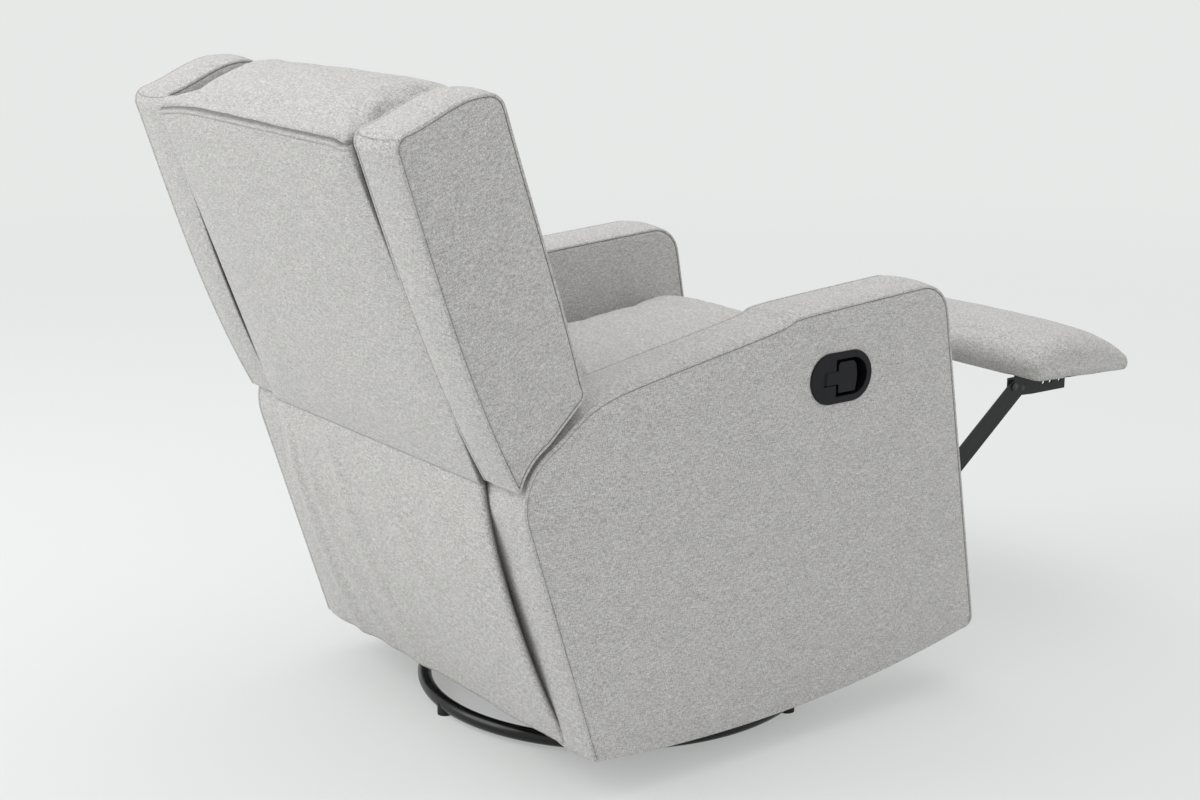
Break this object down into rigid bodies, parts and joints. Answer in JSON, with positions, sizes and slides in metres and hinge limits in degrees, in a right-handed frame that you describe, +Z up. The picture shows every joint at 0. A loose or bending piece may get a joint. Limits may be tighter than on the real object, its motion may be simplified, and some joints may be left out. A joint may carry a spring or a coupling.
{
  "type": "swivel glider recliner",
  "caption": "Upholstered wing-back chair on a swivelling, gliding base, with a reclining back and a fold-out footrest released by a lever in the arm.",
  "frame": {"origin": "on the floor, under the middle of the chair's width and of its depth with the footrest out", "axes": "+Z up, the sitter faces -Y, the sitter's right hand is towards -X"},
  "size_m": [0.753, 1.5356, 0.9951],
  "materials": {
    "cover_fabric": "woven heather upholstery cloth",
    "back_cloth": "the same cloth, hanging unpadded",
    "black_steel": "black powder coat",
    "link_steel": "black phosphate with light wear",
    "rivet_steel": "zinc-plated pins and rivets",
    "ball_steel": "polished bearing balls",
    "frame_wood": "planed softwood and plywood",
    "handle_plastic": "black moulded plastic, satin",
    "foot_plastic": "black moulded plastic"
  },
  "bodies": {
    "base": {"base_ring": "black_steel", "floor_feet": "foot_plastic", "base_cross": "black_steel", "lower_bearing_plate": "black_steel", "bearing_balls": "ball_steel", "swivel_kingpin": "rivet_steel"},
    "turntable": {"upper_bearing_plate": "black_steel", "stand_channels": "black_steel", "stand_bolts": "rivet_steel", "glide_stand_right": "black_steel", "glide_stand_left": "black_steel", "glide_top_pins": "rivet_steel"},
    "glide_front": {"glide_links_front": "link_steel"},
    "glide_rear": {"glide_links_rear": "link_steel"},
    "chassis": {"side_plate_right": "link_steel", "side_plate_left": "link_steel", "mechanism_pins": "rivet_steel", "tie_tubes": "link_steel", "seat_rail_right": "frame_wood", "seat_rail_left": "frame_wood", "seat_rail_front": "frame_wood", "seat_rail_rear": "frame_wood", "seat_springs": "rivet_steel", "seat_cushion": "cover_fabric", "arm_cover_right": "cover_fabric", "arm_cover_left": "cover_fabric", "arm_frame_right": "frame_wood", "arm_frame_left": "frame_wood", "handle_cup": "handle_plastic", "lever_pin": "rivet_steel", "back_bracket_right": "link_steel", "back_bracket_left": "link_steel", "recline_pins": "rivet_steel", "rear_skirt": "back_cloth", "rear_stretcher": "frame_wood"},
    "back": {"back_frame": "frame_wood", "back_panel": "cover_fabric", "back_iron_right": "link_steel", "back_iron_left": "link_steel", "wing_right": "cover_fabric", "wing_left": "cover_fabric", "back_cushion": "cover_fabric", "head_pillow": "cover_fabric"},
    "drive_links": {"drive_link_right": "link_steel", "drive_link_left": "link_steel", "torque_shaft": "link_steel", "drive_rivets": "rivet_steel"},
    "long_links": {"long_link_right": "link_steel", "long_link_left": "link_steel"},
    "outer_links": {"outer_link_right": "link_steel", "outer_link_left": "link_steel"},
    "guide_links": {"guide_links": "link_steel", "tail_rivets": "rivet_steel"},
    "footrest": {"footrest_board": "frame_wood", "footrest_pad": "cover_fabric", "footrest_bracket_right": "link_steel", "footrest_bracket_left": "link_steel", "bracket_rivets": "rivet_steel"},
    "lever": {"release_lever": "handle_plastic"}
  },
  "joints": [
    {"name": "swivel", "type": "hinge", "parent": "base", "child": "turntable", "pos_m": [0, 0.1475, 0.06], "axis": [0, 0, 1], "continuous": true},
    {"name": "glide", "type": "hinge", "parent": "turntable", "child": "glide_front", "pos_m": [0, -0.0025, 0.245], "axis": [1, 0, 0], "range_deg": [-22, 22]},
    {"name": "glide_hang", "type": "hinge", "parent": "glide_front", "child": "chassis", "pos_m": [0, -0.0025, 0.125], "axis": [1, 0, 0], "range_deg": [-22, 22]},
    {"name": "glide_rear_link", "type": "hinge", "parent": "turntable", "child": "glide_rear", "pos_m": [0, 0.2975, 0.245], "axis": [1, 0, 0], "range_deg": [-22, 22]},
    {"name": "recline", "type": "hinge", "parent": "chassis", "child": "back", "pos_m": [0, 0.4895, 0.45], "axis": [-1, 0, 0], "range_deg": [0, 30], "deforming": ["rear_skirt"]},
    {"name": "footrest_fold", "type": "hinge", "parent": "chassis", "child": "drive_links", "pos_m": [0, -0.1345, 0.3204], "axis": [1, 0, 0], "range_deg": [0, 77.2]},
    {"name": "long_link_turn", "type": "hinge", "parent": "drive_links", "child": "long_links", "pos_m": [0, -0.3144, 0.2477], "axis": [1, 0, 0], "range_deg": [-116, 0]},
    {"name": "footrest_turn", "type": "hinge", "parent": "long_links", "child": "footrest", "pos_m": [0, -0.5335, 0.422], "axis": [1, 0, 0], "range_deg": [0, 116]},
    {"name": "outer_link_turn", "type": "hinge", "parent": "drive_links", "child": "outer_links", "pos_m": [0, -0.3404, 0.2417], "axis": [1, 0, 0], "range_deg": [-116, 0]},
    {"name": "guide_link_turn", "type": "hinge", "parent": "chassis", "child": "guide_links", "pos_m": [0, -0.1106, 0.2893], "axis": [1, 0, 0], "range_deg": [0, 76.5]},
    {"name": "release", "type": "hinge", "parent": "chassis", "child": "lever", "pos_m": [-0.366, 0.055, 0.55], "axis": [0, 0, -1], "range_deg": [0, 30], "stiffness_Nm_per_rad": 0.9}
  ],
  "couplings": [
    {"joint": "glide_hang", "follows": "glide", "ratio": -1},
    {"joint": "glide_rear_link", "follows": "glide", "ratio": 1},
    {"joint": "long_link_turn", "follows": "footrest_fold", "ratio": -1.4895},
    {"joint": "footrest_turn", "follows": "footrest_fold", "ratio": 1.4895},
    {"joint": "outer_link_turn", "follows": "footrest_fold", "ratio": -1.4895},
    {"joint": "guide_link_turn", "follows": "footrest_fold", "ratio": 0.98199}
  ]
}
